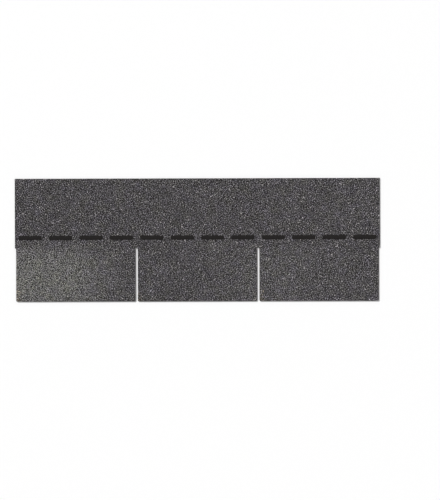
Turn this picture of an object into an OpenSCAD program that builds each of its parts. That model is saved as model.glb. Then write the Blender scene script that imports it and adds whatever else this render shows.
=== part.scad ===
// Three-tab asphalt strip shingle, lying flat with its granule face up.
// X runs along the course, Y up the roof slope and Z out of the weather face.
// The origin is the middle of the underside.

/* [Sheet] */
// Length of the strip along the course
strip_l = 1000; // [900:1:1100]
// Height of the strip from the butt edge of the tabs to the top edge
strip_h = 336.5; // [300:0.5:360]
// Thickness of the coated mat with its granules
sheet_t = 3; // [2:0.1:5]

/* [Tabs and cutouts] */
// Tabs along the strip
tab_count = 3; // [2:1:5]
// Height of the tabs that stays in view below the next course
exposure = 143; // [120:0.5:150]
// How far the cutouts run up under the next course
cutout_run_up = 3; // [0:0.5:10]
// Width of the cutout between two tabs
cutout_w = 6.4; // [5:0.1:12]
// Radius in the two corners of a cutout's closed end
cutout_end_r = 1.5; // [0.5:0.1:2.4]
// Radius on the lower corners of a tab
tab_corner_r = 3; // [1:0.5:8]

/* [Seal strip] */
// Adhesive dashes above each tab
dashes_per_tab = 4; // [2:1:6]
// Gap between neighbouring dashes
dash_gap = 20; // [8:1:25]
// Width of a dash, up the slope
dash_w = 13; // [9:0.5:20]
// Radius on the corners of a dash, seen from above
dash_corner_r = 4; // [1:0.5:4.4]
// Height of a dash at its crown
dash_t = 1; // [0.6:0.1:2]
// Height of a dash along its two long edges
dash_edge_t = 0.3; // [0.2:0.05:0.5]
// Distance from the closed ends of the cutouts up to the dashes, with room between them for the line of nails
dash_rise = 22; // [4:0.5:40]

/* [Hidden] */

// Fine enough for the shallow crown of the adhesive dashes
$fn = 256;

// How far a cutting shape runs past what it cuts
cut_past = 1;

// The strip is cut off a running sheet through the middle of a cutout, so a cutout is centred on every
// tab boundary and each end of the strip keeps half of one.
tab_pitch = strip_l / tab_count;
cutout_h = exposure + cutout_run_up;
butt_y = -strip_h / 2;

dash_count = tab_count * dashes_per_tab;
dash_pitch = tab_pitch / dashes_per_tab;
dash_l = dash_pitch - dash_gap;
dash_y = butt_y + cutout_h + dash_rise + dash_w / 2;

// Radius of the arc that rises from a dash's edge height to its crown height over half its width
crown_rise = dash_t - dash_edge_t;
crown_r = (pow(dash_w / 2, 2) + pow(crown_rise, 2)) / (2 * crown_rise);

// Rectangle of size [l, w] on the origin with round corners
module rounded_rectangle(l, w, r) {
    square([l - 2 * r, w], center = true);
    square([l, w - 2 * r], center = true);
    for (x = [-1, 1], y = [-1, 1])
        translate([x * (l / 2 - r), y * (w / 2 - r)])
            circle(r);
}

// One cutout, open at y = 0 and closed at y = cutout_h
module cutout_profile() {
    translate([0, (cutout_h - cut_past) / 2])
        rounded_rectangle(cutout_w, cutout_h + cut_past, cutout_end_r);
    for (side = [0, 1])
        mirror([side, 0])
            mouth_flare();
}

// The flare at one side of a cutout's mouth, which leaves the tab beside it a round lower corner
module mouth_flare() {
    difference() {
        translate([0, -cut_past])
            square([cutout_w / 2 + tab_corner_r, tab_corner_r + cut_past]);
        translate([cutout_w / 2 + tab_corner_r, tab_corner_r])
            circle(tab_corner_r);
    }
}

module shingle_profile() {
    difference() {
        square([strip_l, strip_h], center = true);
        for (i = [0 : tab_count])
            translate([i * tab_pitch - strip_l / 2, butt_y])
                cutout_profile();
    }
}

module shingle() {
    color("dimgray")
        linear_extrude(sheet_t)
            shingle_profile();
}

// One adhesive dash, crowned across its width
module seal_dash() {
    intersection() {
        linear_extrude(dash_t)
            rounded_rectangle(dash_l, dash_w, dash_corner_r);
        translate([0, 0, dash_t - crown_r])
            rotate([0, 90, 0])
                cylinder(r = crown_r, h = dash_l + 2 * cut_past, center = true);
    }
}

module seal_strip() {
    color("black")
        for (i = [0 : dash_count - 1])
            translate([(i + 0.5) * dash_pitch - strip_l / 2, dash_y, sheet_t])
                seal_dash();
}

shingle();
seal_strip();
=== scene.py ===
"""Looks of a three-tab asphalt strip shingle that lies flat, granule face up, seen from straight above."""

import math

import bpy
import numpy as np
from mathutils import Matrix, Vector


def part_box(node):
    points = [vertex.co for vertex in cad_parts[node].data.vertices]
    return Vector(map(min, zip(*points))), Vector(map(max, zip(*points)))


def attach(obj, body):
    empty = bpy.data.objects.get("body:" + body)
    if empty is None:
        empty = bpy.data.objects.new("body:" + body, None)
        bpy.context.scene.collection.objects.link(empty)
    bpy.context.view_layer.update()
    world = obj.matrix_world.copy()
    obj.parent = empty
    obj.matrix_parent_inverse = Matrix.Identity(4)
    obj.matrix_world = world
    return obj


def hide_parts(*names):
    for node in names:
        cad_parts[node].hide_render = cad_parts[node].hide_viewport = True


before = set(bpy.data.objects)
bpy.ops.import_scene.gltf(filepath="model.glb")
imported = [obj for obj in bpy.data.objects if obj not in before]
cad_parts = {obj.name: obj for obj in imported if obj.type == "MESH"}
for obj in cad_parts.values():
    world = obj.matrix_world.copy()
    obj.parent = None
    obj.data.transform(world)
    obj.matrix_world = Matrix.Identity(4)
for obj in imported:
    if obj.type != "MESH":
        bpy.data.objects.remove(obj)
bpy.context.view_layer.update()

# The sheet, from the frame
sheet_low, sheet_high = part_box("shingle")
SHEET_L = sheet_high.x - sheet_low.x
SHEET_H = sheet_high.y - sheet_low.y
FACE_Z = sheet_high.z
BUTT_Y = sheet_low.y

# Tabs and the cutouts between them, with half a cutout at each end of the strip
TAB_COUNT = 3
TAB_PITCH = SHEET_L / TAB_COUNT
CUTOUT_W = 0.0064
CUTOUT_H = 0.146
CUTOUT_END_Y = BUTT_Y + CUTOUT_H
CUTOUT_END_R = 0.0015
TAB_CORNER_R = 0.003
HALF_TAB = TAB_PITCH / 2 - CUTOUT_W / 2

# Adhesive dashes, whose line, width and height come from the frame
dash_low, dash_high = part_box("seal_strip")
DASH_COUNT = 12
DASH_PITCH = SHEET_L / DASH_COUNT
DASH_GAP = 0.020
DASH_L = DASH_PITCH - DASH_GAP
DASH_W = dash_high.y - dash_low.y
DASH_Y = (dash_low.y + dash_high.y) / 2
DASH_T = dash_high.z - FACE_Z
DASH_EDGE_T = 0.0003
DASH_CORNER_R = 0.004
DASH_CROWN_POWER = 3
DASH_SHARP_DEG = 50
# Points along and across a dash's upper face
DASH_GRID = (129, 21)

# The dashes' wavy long edges, and the lumps of the granules that they lie on
WAVE_REACH = 0.0007
WAVE_LENGTHS = (0.030, 0.012, 0.005, 0.0027)
LUMP_REACH = 0.0001
LUMP_LIMIT = 3
LUMP_LENGTHS = (0.0019, 0.0034)
LUMP_WAVES = 14

# The asphalt ends a little below the nominal face, and holds the granules and dashes down to the bed
ASPHALT_Z = FACE_Z - 0.0006
BED_Z = ASPHALT_Z - 0.0003

# The mat's cut edge, ragged and bevelled at the underside, with the glass mat as a line in it
OUTLINE_STEP = 0.0013
ARC_STEPS = 6
EDGE_LEVELS = 4
RAGGED_REACH = 0.00014
LOWER_BEVEL = 0.0003
MAT_LINE_Z = 0.0011
MAT_LINE_W = 0.00025

# Granules: a jittered honeycomb of angular stones, each with a crest above the asphalt and a rim below it
GRANULE_SIDES = 6
GRANULE_PITCH = 0.0017
GRANULE_ROW = GRANULE_PITCH * math.sqrt(3) / 2
CENTRE_JITTER = 0.40 * GRANULE_PITCH
CREST_JITTER = 0.36 * GRANULE_PITCH
SIZE_SPREAD = 0.60
CREST_HEIGHTS = (0.00020, 0.00095)
RIM_DEPTHS = (0.00001, 0.00007)
EDGE_INSET = 0.00003
SPARE_CELLS = 3
BAND_NAMES = ("lower", "middle", "upper")
SEED = 7
# Here and there a granule is missing and the asphalt shows
BARE_SHARE = 0.012
BARE_DEPTH = 0.00005
# How evenly the light granules are strewn, in how many rounds, and how many cells about each count
EVENNESS = 0.8
EVENING_ROUNDS = 2
SMOOTHING_PASSES = 3

# UV map of a band of granules, for baking: rows one above the other, and what is hidden on a strip below
UV_NAME = "OFBake"
UV_ROWS = 4
UV_ROW_FILL = 0.98
UV_MARGIN = 0.012
UV_HIDDEN = 0.02

# The photograph's frame: 440 by 500 pixels, with the middle of the strip at this pixel
IMAGE_W = 440
IMAGE_H = 500
STRIP_PX = (197.4, 239.7)
METRES_PER_PX = 0.00274
PHOTO_ROLL_DEG = 0.17
CAMERA_HEIGHT = 3.2
CAMERA_REACH = 100

# Studio
WORLD_LEVEL = 0.42
KEY_ELEVATION_DEG = 35
KEY_TURN_DEG = 45
KEY_ANGLE_DEG = 8
FLOOR_REACH = 30.0
FLOOR_DROP = 0.0002
FLOOR_COLOUR = (0.99, 0.99, 0.99)
FLOOR_ROUGHNESS = 0.9

# Most of a noise texture's values lie in this range
NOISE_RANGE = (0.3, 0.7)

# Granule greys from the darkest to the lightest, each with the level at which it starts
GRANULE_GREYS = ((0.00, 0.016), (0.42, 0.039), (0.66, 0.094), (0.80, 0.238), (0.93, 0.470))
# A few granules anywhere are the brightest
BRIGHT_GREY = 0.72
BRIGHT_SHARE = 0.004
# Where both curves below are at 1, the blend moves this far to the light granules and all lighten a little
BLEND_SHIFT = 0.155
BLEND_LIFT = 0.010
BLEND_CLOUD = 0.007
BLEND_CLOUD_NOISE = dict(scale=22, detail=3)
# The blend along the strip from its left end and across it from its butt edge, by shares of those sizes
BLEND_ALONG = (
    (0.0, 0.96), (0.12, 0.96), (0.20, 0.64), (0.28, 0.18), (0.36, 0.02),
    (0.55, 0.02), (0.64, 0.23), (0.76, 0.18), (0.90, 0.02), (1.0, 0.03),
)
# Across, darker at the butt edge and toward the tabs' top: partly where the light blend ends, partly painted
# shade of a course above
BLEND_AND_SHADE_ACROSS = ((0.0, 0.65), (0.12, 1.0), (0.24, 1.0), (0.44, 0.42), (0.50, 0.05), (1.0, 0.05))
# Tints of the dark and light blends, of bluish and yellowish patches, and of cool and warm granules
DARK_TINT = (1.052, 1.0, 1.052)
LIGHT_TINT = (1.014, 1.0, 0.962)
PATCH_TINTS = ((1.012, 1.0, 1.075), (0.988, 1.0, 0.925))
PATCH_NOISE = dict(scale=40, detail=2)
COOL_TINT = (0.875, 0.88, 0.92)
WARM_TINT = (1.125, 1.12, 1.08)
# Tan granules near the tabs' lower left corners
TAN_TINT = (1.30, 1.12, 0.90)
TAN_REACH = (0.019, 0.052)
TAN_SHARE = 0.7
# Darker and lighter spots within a granule, and its finish
SPOT_SHADES = ((0.8, 0.8, 0.8), (1.2, 1.2, 1.2))
GRANULE_GRIT = dict(scale=2600, detail=2)
GRANULE_BUMP = dict(strength=0.35, distance=0.0002)
GRANULE_ROUGHNESS = (0.74, 0.94)
GRANULE_SPECULAR = 0.2

# The asphalt, and the glass mat in its cut edge
ASPHALT_COLOURS = ((0.010, 0.008, 0.007), (0.036, 0.031, 0.027))
ASPHALT_GRIT = dict(scale=1500, detail=3)
ASPHALT_BUMP = dict(strength=0.5, distance=0.0003)
ASPHALT_ROUGHNESS = (0.70, 0.95)
ASPHALT_SPECULAR = 0.15
MAT_COLOUR = (0.075, 0.068, 0.058)
MAT_SHOWS = 0.7
MAT_LINE_NOISE = dict(scale=700, detail=4)

# The sanded underside: its grains, each with the level at which its colour starts, their clouds and streaks
SAND_COLOURS = (
    (0.0, (0.030, 0.028, 0.026)), (0.30, (0.062, 0.058, 0.053)), (0.58, (0.115, 0.108, 0.099)),
    (0.86, (0.215, 0.203, 0.186)),
)
SAND_SCALE = 1400
SAND_GRAIN_R = (0.30, 0.75)
SAND_CLOUD = 0.16
SAND_CLOUD_NOISE = dict(scale=45, detail=5)
SAND_STREAK = 0.08
SAND_STREAK_NOISE = dict(scale=120, detail=3)
SAND_STREAK_STRETCH = (0.03, 1.0, 1.0)
SAND_BUMP = dict(strength=0.6, distance=0.0003)
SAND_ROUGHNESS = (0.72, 0.98)

# The adhesive
SEALANT_COLOURS = ((0.010, 0.009, 0.009), (0.024, 0.022, 0.021))
SEALANT_SKIN = dict(scale=420, detail=4)
SEALANT_DUST = dict(scale=1900, detail=2)
SEALANT_BUMP = dict(strength=0.25, distance=0.0002)
SEALANT_ROUGHNESS = (0.46, 0.70)
SEALANT_SPECULAR = 0.05


def linked_object(name, data):
    """A new object in the scene."""
    made = bpy.data.objects.new(name, data)
    bpy.context.scene.collection.objects.link(made)
    return made


def mesh_from_faces(name, points, groups):
    """A flat-shaded mesh from arrays of faces, one row a face, with only the points that they use."""
    corners = np.concatenate([faces.ravel() for faces in groups])
    sizes = np.concatenate([np.full(len(faces), faces.shape[1]) for faces in groups])
    used, numbers = np.unique(corners, return_inverse=True)
    mesh = bpy.data.meshes.new(name)
    mesh.vertices.add(len(used))
    mesh.vertices.foreach_set("co", points[used].ravel())
    mesh.loops.add(len(corners))
    mesh.loops.foreach_set("vertex_index", numbers)
    mesh.polygons.add(len(sizes))
    mesh.polygons.foreach_set("loop_start", np.cumsum(sizes) - sizes)
    mesh.update(calc_edges=True)
    mesh.shade_flat()
    return mesh


def open_loops(triangles):
    """The loops of points along the open edges of a relief, in the direction of its faces."""
    starts = triangles.ravel()
    ends = np.roll(triangles, -1, 1).ravel()
    count = triangles.max() + 1
    is_open = ~np.isin(starts * count + ends, ends * count + starts)
    following = dict(zip(starts[is_open].tolist(), ends[is_open].tolist()))
    loops = []
    while following:
        first, point = following.popitem()
        loop = [first]
        while point != first:
            loop.append(point)
            point = following.pop(point)
        loops.append(np.array(loop))
    return loops


def closed_relief(name, points, triangles, base_z):
    """A mesh of an open relief, closed with walls from its rim down to base_z and a flat bottom."""
    feet = np.column_stack([points[:, :2], np.full(len(points), base_z)])
    groups = [triangles]
    for rim in open_loops(triangles):
        foot = rim + len(points)
        groups.append(np.stack([np.roll(rim, -1), rim, foot, np.roll(foot, -1)], -1))
        groups.append(foot[None, ::-1])
    return mesh_from_faces(name, np.concatenate([points, feet]), groups)


# Granules

def neighbours(field):
    """A honeycomb's values in the six cells round each cell. Its odd rows lie half a cell to the right."""
    odd = (np.arange(len(field)) % 2 == 1)[:, None]
    right = np.roll(field, -1, 1)
    left = np.roll(field, 1, 1)
    up = np.roll(field, -1, 0)
    down = np.roll(field, 1, 0)
    return {
        "right": right,
        "up_right": np.where(odd, np.roll(right, -1, 0), up),
        "up_left": np.where(odd, up, np.roll(left, -1, 0)),
        "left": left,
        "down_left": np.where(odd, down, np.roll(left, 1, 0)),
        "down_right": np.where(odd, np.roll(right, 1, 0), down),
    }


def smoothed(field):
    """Each cell's value averaged with those of the cells round it."""
    for _ in range(SMOOTHING_PASSES):
        field = (field + sum(neighbours(field).values())) / (GRANULE_SIDES + 1)
    return field


def ranked(values):
    """Values replaced by their ranks, from 0 for the lowest to 1 for the highest."""
    ranks = np.empty(values.size)
    ranks[np.argsort(values, axis=None)] = np.linspace(0, 1, values.size)
    return ranks.reshape(values.shape)


def strewn_evenly(rng, shape):
    """Shades from 0 to 1, strewn so that light granules lie more evenly than by chance."""
    levels, greys = np.transpose(GRANULE_GREYS)
    values = rng.normal(0, 1, shape)
    for _ in range(EVENING_ROUNDS):
        grey = greys[np.searchsorted(levels, ranked(values), "right") - 1]
        values = values - EVENNESS * (smoothed(grey) - grey.mean()) / grey.std()
    return ranked(values)


def nearest_tab(x):
    """The middle of the tab that each x belongs to."""
    number = np.floor((x - sheet_low.x) / TAB_PITCH).clip(0, TAB_COUNT - 1)
    return sheet_low.x + (number + 0.5) * TAB_PITCH


def kept_on_sheet(x, y):
    """Points that lie off the sheet's outline, moved to the nearest place just inside it."""
    x = np.clip(x, sheet_low.x + EDGE_INSET, sheet_high.x - EDGE_INSET)
    y = np.clip(y, sheet_low.y + EDGE_INSET, sheet_high.y - EDGE_INSET)
    tab_x = nearest_tab(x)
    side = np.sign(x - tab_x)
    half_tab = HALF_TAB - EDGE_INSET
    past_side = np.abs(x - tab_x) - half_tab
    below_end = CUTOUT_END_Y + EDGE_INSET - y
    in_cutout = (past_side > 0) & (below_end > 0)
    sideways = in_cutout & (past_side <= below_end)
    x = np.where(sideways, tab_x + side * half_tab, x)
    y = np.where(in_cutout & ~sideways, CUTOUT_END_Y + EDGE_INSET, y)

    # The round lower corners of the tabs
    corner_r = TAB_CORNER_R - EDGE_INSET
    from_x = np.abs(x - tab_x) - (HALF_TAB - TAB_CORNER_R)
    from_y = BUTT_Y + TAB_CORNER_R - y
    reach = np.maximum(np.hypot(from_x, from_y), corner_r)
    on_corner = (from_x > 0) & (from_y > 0)
    back = np.where(on_corner, 1 - corner_r / reach, 0)
    return x - side * from_x * back, y + from_y * back


def jittered(rng, x, y, reach):
    """Places moved at random, at most this far along each axis."""
    return x + rng.uniform(-reach, reach, x.shape), y + rng.uniform(-reach, reach, y.shape)


def granule_middles(rng):
    """The granules' middles, with a few spare cells all round the sheet."""
    rows = int(SHEET_H / GRANULE_ROW) + 2 * SPARE_CELLS
    columns = int(SHEET_L / GRANULE_PITCH) + 2 * SPARE_CELLS
    row, column = np.mgrid[:rows, :columns]
    x = sheet_low.x + (column + row % 2 / 2 - SPARE_CELLS) * GRANULE_PITCH
    y = sheet_low.y + (row - SPARE_CELLS) * GRANULE_ROW
    return jittered(rng, x, y, CENTRE_JITTER)


def meeting_points(x, y, pull, first, second):
    """The point between each granule and its neighbours on two sides, nearer to those that pull more."""
    sums = []
    for field in (pull, x * pull, y * pull):
        near = neighbours(field)
        sums.append(field + near[first] + near[second])
    total, x_sum, y_sum = sums
    return kept_on_sheet(x_sum / total, y_sum / total)


def granule_points(rng, x, y):
    """Three points a granule, one kind after the other: its crest, and its rim's points above and below."""
    pull = np.exp(rng.normal(0, SIZE_SPREAD, x.shape))
    crest = kept_on_sheet(*jittered(rng, x, y, CREST_JITTER))
    above = meeting_points(x, y, pull, "up_right", "up_left")
    below = meeting_points(x, y, pull, "down_left", "down_right")
    crest_z = ASPHALT_Z + rng.uniform(*CREST_HEIGHTS, x.shape)
    crest_z[rng.random(x.shape) < BARE_SHARE] = ASPHALT_Z - BARE_DEPTH
    above_z, below_z = ASPHALT_Z - rng.uniform(*RIM_DEPTHS, (2, *x.shape))
    kinds = np.array([(*crest, crest_z), (*above, above_z), (*below, below_z)])
    return np.moveaxis(kinds, 1, -1).reshape(-1, 3)


def rim_numbers(shape):
    """The numbers of the points in turn round each granule's rim, four of them its neighbours'."""
    _, above, below = np.arange(3 * math.prod(shape)).reshape(3, *shape)
    near_above = neighbours(above)
    near_below = neighbours(below)
    upper_half = [near_below["up_right"], above, near_below["up_left"]]
    lower_half = [near_above["down_left"], below, near_above["down_right"]]
    return np.stack(upper_half + lower_half, -1).reshape(-1, GRANULE_SIDES)


def map_from_above(mesh, crest_x):
    """A band's UV map as seen from above: each granule in a row chosen by its crest, the rest below."""
    points = np.empty(len(mesh.vertices) * 3, np.float32)
    mesh.vertices.foreach_get("co", points)
    vertex = np.empty(len(mesh.loops), np.int32)
    mesh.loops.foreach_get("vertex_index", vertex)
    corners = points.reshape(-1, 3)[vertex, :2]
    low = corners.min(0)
    span = corners.max(0) - low
    along, across = ((corners - low) / span).T
    place = np.stack([along, UV_HIDDEN * across], -1)

    shown = len(crest_x)
    row = np.floor((crest_x - low[0]) / span[0] * UV_ROWS).clip(0, UV_ROWS - 1)
    height = (row + UV_ROW_FILL * across[:shown]) / UV_ROWS
    place[:shown, 0] = (along[:shown] * UV_ROWS - row + UV_MARGIN) / (1 + 2 * UV_MARGIN)
    place[:shown, 1] = 2 * UV_HIDDEN + (1 - 2 * UV_HIDDEN) * height
    layer = mesh.uv_layers.new(name=UV_NAME)
    layer.uv.foreach_set("vector", place.astype(np.float32).ravel())


def granule_piece(name, points, rims, traits, numbers, material):
    """The granules with these numbers as one piece of relief, with their traits on its faces."""
    rim = rims[numbers]
    crest = np.repeat(numbers[:, None], GRANULE_SIDES, 1)
    triangles = np.stack([crest, rim, np.roll(rim, -1, 1)], -1)
    mesh = closed_relief(name, points, triangles.reshape(-1, 3), BED_Z)
    map_from_above(mesh, np.repeat(points[numbers, 0], triangles[0].size))
    for trait, values in traits.items():
        on_faces = np.zeros(len(mesh.polygons), np.float32)
        on_faces[: crest.size] = np.repeat(values[numbers], GRANULE_SIDES)
        mesh.attributes.new(trait, "FLOAT", "FACE").data.foreach_set("value", on_faces)
    mesh.materials.append(material)
    return linked_object(name, mesh)


def add_granules():
    """The granules in bands along the strip, three on the tabs and three on the head lap."""
    rng = np.random.default_rng(SEED)
    x, y = granule_middles(rng)
    points = granule_points(rng, x, y)
    rims = rim_numbers(x.shape)
    traits = {"shade": strewn_evenly(rng, x.shape).ravel(), "tone": rng.random(x.size)}
    on_sheet = np.equal(kept_on_sheet(x, y), (x, y)).all(0)
    look = granule_material()
    made = []
    for zone, low_y, high_y in (("tabs", BUTT_Y, CUTOUT_END_Y), ("head_lap", CUTOUT_END_Y, sheet_high.y)):
        band = np.floor((y - low_y) / (high_y - low_y) * len(BAND_NAMES))
        for number, level in enumerate(BAND_NAMES):
            numbers = np.flatnonzero(on_sheet & (band == number))
            made.append(granule_piece(f"granules_{zone}_{level}", points, rims, traits, numbers, look))
    return made


# The coated mat

def arc(middle, radius, start_deg, end_deg):
    """Points of an arc about a middle, from one angle to another."""
    angles = np.radians(np.linspace(start_deg, end_deg, ARC_STEPS + 1))
    return [(middle[0] + radius * math.cos(a), middle[1] + radius * math.sin(a)) for a in angles]


def sheet_outline():
    """Corner points of the sheet's outline, counterclockwise from the top left corner."""
    end_r = CUTOUT_END_R
    corner_r = TAB_CORNER_R
    points = [(sheet_low.x, sheet_high.y), (sheet_low.x, CUTOUT_END_Y)]
    for number in range(TAB_COUNT):
        left = sheet_low.x + number * TAB_PITCH + CUTOUT_W / 2
        right = left + 2 * HALF_TAB
        points += arc((left - end_r, CUTOUT_END_Y - end_r), end_r, 90, 0)
        points += arc((left + corner_r, BUTT_Y + corner_r), corner_r, 180, 270)
        points += arc((right - corner_r, BUTT_Y + corner_r), corner_r, 270, 360)
        points += arc((right + end_r, CUTOUT_END_Y - end_r), end_r, 180, 90)
    return np.array([*points, (sheet_high.x, CUTOUT_END_Y), (sheet_high.x, sheet_high.y)])


def resampled(outline, step):
    """A closed outline with points added so that none are further apart than a step."""
    points = []
    for a, b in zip(outline, np.roll(outline, -1, 0)):
        count = max(1, math.ceil(np.linalg.norm(b - a) / step))
        points += [a + (b - a) * i / count for i in range(count)]
    return np.array(points)


def outward(points):
    """Unit vectors that point out of a counterclockwise outline at each of its points."""
    along = np.roll(points, -1, 0) - np.roll(points, 1, 0)
    along /= np.linalg.norm(along, axis=1)[:, None]
    return np.stack([along[:, 1], -along[:, 0]], 1)


def add_mat():
    """The asphalt-coated mat under the granules, with a slightly ragged cut edge."""
    rng = np.random.default_rng(SEED)
    outline = resampled(sheet_outline(), OUTLINE_STEP)
    away = outward(outline)
    count = len(outline)
    points = [(x, y, 0) for x, y in outline - away * LOWER_BEVEL]
    for z in np.linspace(LOWER_BEVEL, ASPHALT_Z, EDGE_LEVELS):
        ring = outline + away * rng.uniform(0, RAGGED_REACH, (count, 1))
        points += [(x, y, z) for x, y in ring]
    faces = [tuple(reversed(range(count))), tuple(range(count * EDGE_LEVELS, count * (EDGE_LEVELS + 1)))]
    for level in range(EDGE_LEVELS):
        first = level * count
        for i in range(count):
            j = (i + 1) % count
            faces.append((first + i, first + j, first + count + j, first + count + i))
    mesh = bpy.data.meshes.new("coated_mat")
    mesh.from_pydata(points, [], faces)
    mesh.shade_flat()
    mesh.materials.append(asphalt_material())
    mesh.materials.append(back_material())
    mesh.polygons[0].material_index = 1
    return linked_object("coated_mat", mesh)


# Adhesive dashes

def wavy(rng, along):
    """A smooth random wave along a line, at most WAVE_REACH high."""
    height = sum(np.sin(2 * np.pi * (along / length + rng.random())) for length in WAVE_LENGTHS)
    return height * WAVE_REACH / len(WAVE_LENGTHS)


def lumpy(rng, x, y):
    """Smooth random lumps over a surface, about as wide as the granules under it."""
    height = 0
    for turn, length in zip(rng.uniform(0, np.pi, LUMP_WAVES), rng.uniform(*LUMP_LENGTHS, LUMP_WAVES)):
        across = x * math.cos(turn) + y * math.sin(turn)
        height = height + np.sin(2 * np.pi * (across / length + rng.random()))
    return LUMP_REACH * np.clip(height / math.sqrt(LUMP_WAVES), -LUMP_LIMIT, LUMP_LIMIT)


def dash_surface(rng, middle_x):
    """Points of a dash's upper face in columns across it: crowned, round at its ends and a little uneven."""
    half_l = DASH_L / 2
    along = half_l * np.sin(np.linspace(-0.5, 0.5, DASH_GRID[0]) * np.pi)
    across = np.sin(np.linspace(-0.5, 0.5, DASH_GRID[1]) * np.pi)
    past = np.maximum(np.abs(along) - (half_l - DASH_CORNER_R), 0) / DASH_CORNER_R
    half_w = DASH_W / 2 - WAVE_REACH - DASH_CORNER_R * (1 - np.sqrt(np.maximum(1 - past**2, 0)))
    sides = [(half_w + wavy(rng, along))[:, None] for _ in range(2)]
    x = middle_x + along[:, None] + 0 * across
    y = DASH_Y + across * np.where(across > 0, *sides)
    inside = (1 - np.abs(across) ** DASH_CROWN_POWER) * (1 - past[:, None] ** DASH_CROWN_POWER)
    crown = DASH_T - DASH_EDGE_T - LUMP_REACH * LUMP_LIMIT
    z = FACE_Z + DASH_EDGE_T + inside * (crown + lumpy(rng, x, y))
    return np.stack([x, y, z], -1)


def add_dashes():
    """All the adhesive dashes as one piece."""
    rng = np.random.default_rng(SEED)
    cell = np.arange(DASH_GRID[0] * DASH_GRID[1]).reshape(DASH_GRID)
    a, b, c, d = cell[:-1, :-1], cell[1:, :-1], cell[1:, 1:], cell[:-1, 1:]
    one_dash = np.stack([a, b, c, a, c, d], -1).reshape(-1, 3)
    middles = sheet_low.x + (np.arange(DASH_COUNT) + 0.5) * DASH_PITCH
    points = np.concatenate([dash_surface(rng, x).reshape(-1, 3) for x in middles])
    triangles = np.concatenate([one_dash + number * cell.size for number in range(DASH_COUNT)])
    mesh = closed_relief("sealant_dashes", points, triangles, BED_Z)
    mesh.shade_smooth()
    mesh.set_sharp_from_angle(angle=math.radians(DASH_SHARP_DEG))
    mesh.materials.append(sealant_material())
    return linked_object("sealant_dashes", mesh)


# Materials

class Nodes:
    """The node tree of a material or world, with a method for each kind of node that is used here."""

    def __init__(self, tree):
        self.tree = tree

    def feed(self, socket, value):
        """Sets an input to a number, colour or vector, or links a node's output to it."""
        if isinstance(value, bpy.types.NodeSocket):
            self.tree.links.new(value, socket)
        elif socket.type == "RGBA":
            socket.default_value = (*value, 1)
        else:
            socket.default_value = value

    def add(self, kind, output, **inputs):
        """The named output of a new node, with its inputs fed by name."""
        node = self.tree.nodes.new("ShaderNode" + kind)
        for name, value in inputs.items():
            self.feed(node.inputs[name.replace("_", " ")], value)
        return node.outputs[output]

    def operate(self, kind, output, operation, values):
        """The result of a node that does one operation on values, which are fed in turn."""
        result = self.add(kind, output)
        result.node.operation = operation
        for socket, value in zip(result.node.inputs, values):
            self.feed(socket, value)
        return result

    def maths(self, operation, *values):
        """The result of one operation on numbers."""
        return self.operate("Math", "Value", operation, values)

    def stretched(self, place, by):
        """A place whose X, Y and Z are each multiplied by a number."""
        return self.operate("VectorMath", "Vector", "MULTIPLY", (place, by))

    def position(self):
        """A surface's place, whole and as its X, Y and Z."""
        place = self.add("NewGeometry", "Position")
        parts = self.add("SeparateXYZ", "X", Vector=place).node.outputs
        return place, parts["X"], parts["Y"], parts["Z"]

    def trait(self, name):
        """A number that each face of a mesh has under this name."""
        value = self.add("Attribute", "Fac")
        value.node.attribute_name = name
        return value

    def noise(self, place, scale, detail):
        """A cloudy noise, finer the larger its scale is."""
        return self.add("TexNoise", "Fac", Vector=place, Scale=scale, Detail=detail)

    def mapped(self, value, source, target, smooth=False):
        """A value moved from one range to another."""
        numbers = dict(zip(("From_Min", "From_Max", "To_Min", "To_Max"), (*source, *target)))
        result = self.add("MapRange", "Result", Value=value, **numbers)
        if smooth:
            result.node.interpolation_type = "SMOOTHSTEP"
        return result

    def mixed(self, first, second, factor, mode="MIX"):
        """Two colours mixed by a factor."""
        node = self.tree.nodes.new("ShaderNodeMix")
        node.data_type = "RGBA"
        node.blend_type = mode
        node.clamp_factor = False
        sockets = {socket.identifier: socket for socket in (*node.inputs, *node.outputs)}
        self.feed(sockets["Factor_Float"], factor)
        self.feed(sockets["A_Color"], first)
        self.feed(sockets["B_Color"], second)
        return sockets["Result_Color"]

    def stepped(self, value, steps):
        """Colours that jump from one to the next as the value rises past each step."""
        colour = self.add("ValToRGB", "Color", Fac=value)
        ramp = colour.node.color_ramp
        ramp.interpolation = "CONSTANT"
        for _ in range(len(steps) - len(ramp.elements)):
            ramp.elements.new(1.0)
        for element, (level, shade) in zip(ramp.elements, steps):
            element.position = level
            element.color = (*shade, 1)
        return colour

    def curved(self, value, source, points):
        """A value that follows a curve, given by its points, over a range."""
        result = self.add("FloatCurve", "Value", Value=self.mapped(value, source, (0, 1)))
        curve = result.node.mapping.curves[0]
        for _ in range(len(points) - len(curve.points)):
            curve.points.new(0.5, 0.5)
        for point, (at, level) in zip(curve.points, points):
            point.location = (at, level)
        result.node.mapping.update()
        return result

    def bump(self, height, strength, distance):
        """A normal that follows a height."""
        return self.add("Bump", "Normal", Height=height, Strength=strength, Distance=distance)


def new_material(name):
    """A material, its nodes, and the inputs of its Principled shader."""
    material = bpy.data.materials.new(name)
    material.use_nodes = True
    tree = material.node_tree
    return material, Nodes(tree), tree.nodes["Principled BSDF"].inputs


def tan_granules(nodes, x, y, tone):
    """Which granules are tan: some of those near the lower left corners of the tabs."""
    from_end = nodes.maths("SUBTRACT", x, sheet_low.x + CUTOUT_W / 2)
    from_side = nodes.maths("FLOORED_MODULO", from_end, TAB_PITCH)
    near_side = nodes.mapped(from_side, (0, TAN_REACH[0]), (TAN_SHARE, 0), smooth=True)
    near_butt = nodes.mapped(y, (BUTT_Y, BUTT_Y + TAN_REACH[1]), (1, 0), smooth=True)
    return nodes.maths("LESS_THAN", tone, nodes.maths("MULTIPLY", near_side, near_butt))


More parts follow.
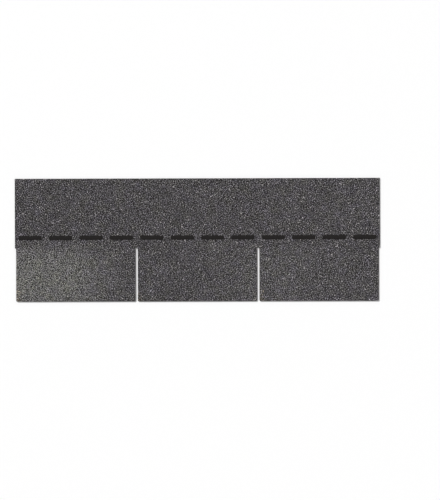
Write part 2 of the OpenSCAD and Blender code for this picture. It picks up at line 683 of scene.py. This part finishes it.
def granule_grey(nodes, place, blend, tone):
    """Each granule's grey, from its shade and from the blend where it lies."""
    clouds = nodes.noise(place, **BLEND_CLOUD_NOISE)
    cloud = nodes.mapped(clouds, NOISE_RANGE, (-BLEND_CLOUD, BLEND_CLOUD))
    drift = nodes.maths("MULTIPLY_ADD", blend, BLEND_SHIFT, cloud)
    shade = nodes.maths("ADD", nodes.trait("shade"), drift)
    grey = nodes.stepped(shade, [(level, (grey, grey, grey)) for level, grey in GRANULE_GREYS])
    grey = nodes.mixed(grey, (1, 1, 1), nodes.maths("MULTIPLY", blend, BLEND_LIFT), "ADD")
    is_bright = nodes.maths("GREATER_THAN", tone, 1 - BRIGHT_SHARE)
    return nodes.mixed(grey, (BRIGHT_GREY, BRIGHT_GREY, BRIGHT_GREY), is_bright)


def granule_tint(nodes, place, x, y, blend, tone):
    """Each granule's tint, from its tone and from the blend and the patch in which it lies."""
    blend_tint = nodes.mixed(DARK_TINT, LIGHT_TINT, blend)
    patches = nodes.noise(place, **PATCH_NOISE)
    patch_tint = nodes.mixed(*PATCH_TINTS, nodes.mapped(patches, NOISE_RANGE, (0, 1)))
    tone_tint = nodes.mixed(COOL_TINT, WARM_TINT, tone)
    tint = nodes.mixed(nodes.mixed(blend_tint, patch_tint, 1.0, "MULTIPLY"), tone_tint, 1.0, "MULTIPLY")
    return nodes.mixed(tint, TAN_TINT, tan_granules(nodes, x, y, tone))


def granule_material():
    """Matte mineral granules, in a blend that drifts between charcoal and light grey on the tabs, with some
    painted shade toward the tabs' top.
    """
    material, nodes, surface = new_material("mineral_granules")
    place, x, y, _ = nodes.position()
    along = nodes.curved(x, (sheet_low.x, sheet_high.x), BLEND_ALONG)
    # Partly painted shade: the granules darken toward the tabs' top as if a course lay over them
    across = nodes.curved(y, (sheet_low.y, sheet_high.y), BLEND_AND_SHADE_ACROSS)
    blend = nodes.maths("MULTIPLY", along, across)
    tone = nodes.trait("tone")
    grey = granule_grey(nodes, place, blend, tone)
    tinted = nodes.mixed(grey, granule_tint(nodes, place, x, y, blend, tone), 1.0, "MULTIPLY")
    grit = nodes.noise(place, **GRANULE_GRIT)
    spots = nodes.mixed(*SPOT_SHADES, grit)
    nodes.feed(surface["Base Color"], nodes.mixed(tinted, spots, 1.0, "MULTIPLY"))
    nodes.feed(surface["Roughness"], nodes.mapped(grit, NOISE_RANGE, GRANULE_ROUGHNESS))
    nodes.feed(surface["Normal"], nodes.bump(grit, **GRANULE_BUMP))
    nodes.feed(surface["Specular IOR Level"], GRANULE_SPECULAR)
    return material


def asphalt_material():
    """Dull brown-black asphalt, with the glass mat as a paler fibrous line along the cut edges."""
    material, nodes, surface = new_material("asphalt_coating")
    place, _, _, z = nodes.position()
    grit = nodes.noise(place, **ASPHALT_GRIT)
    coating = nodes.mixed(*ASPHALT_COLOURS, grit)
    fibres = nodes.noise(place, **MAT_LINE_NOISE)
    wander = nodes.mapped(fibres, NOISE_RANGE, (-MAT_LINE_W, MAT_LINE_W))
    above_line = nodes.maths("SUBTRACT", nodes.maths("ADD", z, wander), MAT_LINE_Z)
    on_line = nodes.mapped(nodes.maths("ABSOLUTE", above_line), (0, MAT_LINE_W), (MAT_SHOWS, 0))
    nodes.feed(surface["Base Color"], nodes.mixed(coating, MAT_COLOUR, on_line))
    nodes.feed(surface["Roughness"], nodes.mapped(grit, NOISE_RANGE, ASPHALT_ROUGHNESS))
    nodes.feed(surface["Normal"], nodes.bump(grit, **ASPHALT_BUMP))
    nodes.feed(surface["Specular IOR Level"], ASPHALT_SPECULAR)
    return material


def back_material():
    """The sanded underside: grains of fine sand, mottled and faintly streaked, with dark asphalt between
    them that is partly painted shade.
    """
    material, nodes, surface = new_material("sanded_back")
    place = nodes.position()[0]
    sand = nodes.add("TexVoronoi", "Color", Vector=place, Scale=SAND_SCALE)
    sand.node.voronoi_dimensions = "2D"
    grain = nodes.add("SeparateColor", "Red", Color=sand)
    streaks = nodes.noise(nodes.stretched(place, SAND_STREAK_STRETCH), **SAND_STREAK_NOISE)
    streak = nodes.mapped(streaks, NOISE_RANGE, (-SAND_STREAK, SAND_STREAK))
    clouds = nodes.noise(place, **SAND_CLOUD_NOISE)
    cloud = nodes.mapped(clouds, NOISE_RANGE, (-SAND_CLOUD, SAND_CLOUD))
    level = nodes.maths("ADD", grain, nodes.maths("ADD", streak, cloud))
    height = nodes.mapped(sand.node.outputs["Distance"], SAND_GRAIN_R, (1, 0), smooth=True)
    grains = nodes.stepped(level, SAND_COLOURS)
    # Each grain darkens smoothly to black asphalt at its edge: partly the asphalt's own colour, partly
    # painted shade round each grain
    nodes.feed(surface["Base Color"], nodes.mixed(ASPHALT_COLOURS[0], grains, height))
    nodes.feed(surface["Roughness"], nodes.mapped(level, (0, 1), SAND_ROUGHNESS))
    nodes.feed(surface["Normal"], nodes.bump(height, **SAND_BUMP))
    return material


def sealant_material():
    """Satin black adhesive."""
    material, nodes, surface = new_material("sealant")
    place = nodes.position()[0]
    skin = nodes.noise(place, **SEALANT_SKIN)
    dust = nodes.noise(place, **SEALANT_DUST)
    nodes.feed(surface["Base Color"], nodes.mixed(*SEALANT_COLOURS, skin))
    nodes.feed(surface["Roughness"], nodes.mapped(skin, NOISE_RANGE, SEALANT_ROUGHNESS))
    nodes.feed(surface["Normal"], nodes.bump(dust, **SEALANT_BUMP))
    nodes.feed(surface["Specular IOR Level"], SEALANT_SPECULAR)
    return material


# Stage

def add_floor():
    """A wide pale floor just under the part."""
    mesh = bpy.data.meshes.new("floor")
    corners = [(x * FLOOR_REACH, y * FLOOR_REACH, 0) for x, y in ((-1, -1), (1, -1), (1, 1), (-1, 1))]
    mesh.from_pydata(corners, [], [(0, 1, 2, 3)])
    material, nodes, surface = new_material("floor")
    nodes.feed(surface["Base Color"], FLOOR_COLOUR)
    nodes.feed(surface["Roughness"], FLOOR_ROUGHNESS)
    mesh.materials.append(material)
    floor = linked_object("floor", mesh)
    floor.location.z = -FLOOR_DROP


def add_world():
    """Even light from all round, and white where the camera or a reflection sees past the floor."""
    world = bpy.data.worlds.new("studio")
    bpy.context.scene.world = world
    world.use_nodes = True
    nodes = Nodes(world.node_tree)
    rays = nodes.add("LightPath", "Is Camera Ray").node.outputs
    seen = nodes.maths("MAXIMUM", rays["Is Camera Ray"], rays["Is Glossy Ray"])
    seen = nodes.maths("MAXIMUM", seen, rays["Is Transmission Ray"])
    background = world.node_tree.nodes["Background"].inputs
    nodes.feed(background["Color"], (1, 1, 1))
    nodes.feed(background["Strength"], nodes.mapped(seen, (0, 1), (WORLD_LEVEL, 1)))


def add_key_light():
    """A soft key light from the upper left of the picture, at the level that the world leaves below 1."""
    lamp = bpy.data.lights.new("key", "SUN")
    lamp.energy = (1 - WORLD_LEVEL) * math.pi / math.sin(math.radians(KEY_ELEVATION_DEG))
    lamp.angle = math.radians(KEY_ANGLE_DEG)
    key = linked_object("key", lamp)
    key.rotation_euler = (math.radians(KEY_ELEVATION_DEG - 90), 0, math.radians(KEY_TURN_DEG))


def add_camera():
    """A camera straight above, with the strip where the photograph's tabs are."""
    camera = linked_object("camera", bpy.data.cameras.new("camera"))
    right = (IMAGE_W / 2 - STRIP_PX[0]) * METRES_PER_PX
    up = (STRIP_PX[1] - IMAGE_H / 2) * METRES_PER_PX
    camera.location = (right, up, FACE_Z + CAMERA_HEIGHT)
    camera.rotation_euler = (0, 0, -math.radians(PHOTO_ROLL_DEG))
    camera.data.lens = camera.data.sensor_width * CAMERA_HEIGHT / (IMAGE_H * METRES_PER_PX)
    camera.data.clip_end = CAMERA_REACH
    bpy.context.scene.camera = camera


add_camera()
add_floor()
add_world()
add_key_light()
bpy.context.scene.view_settings.view_transform = "Standard"

for piece in (add_mat(), *add_granules()):
    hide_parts("shingle")
    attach(piece, "root")
dashes = add_dashes()
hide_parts("seal_strip")
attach(dashes, "root")
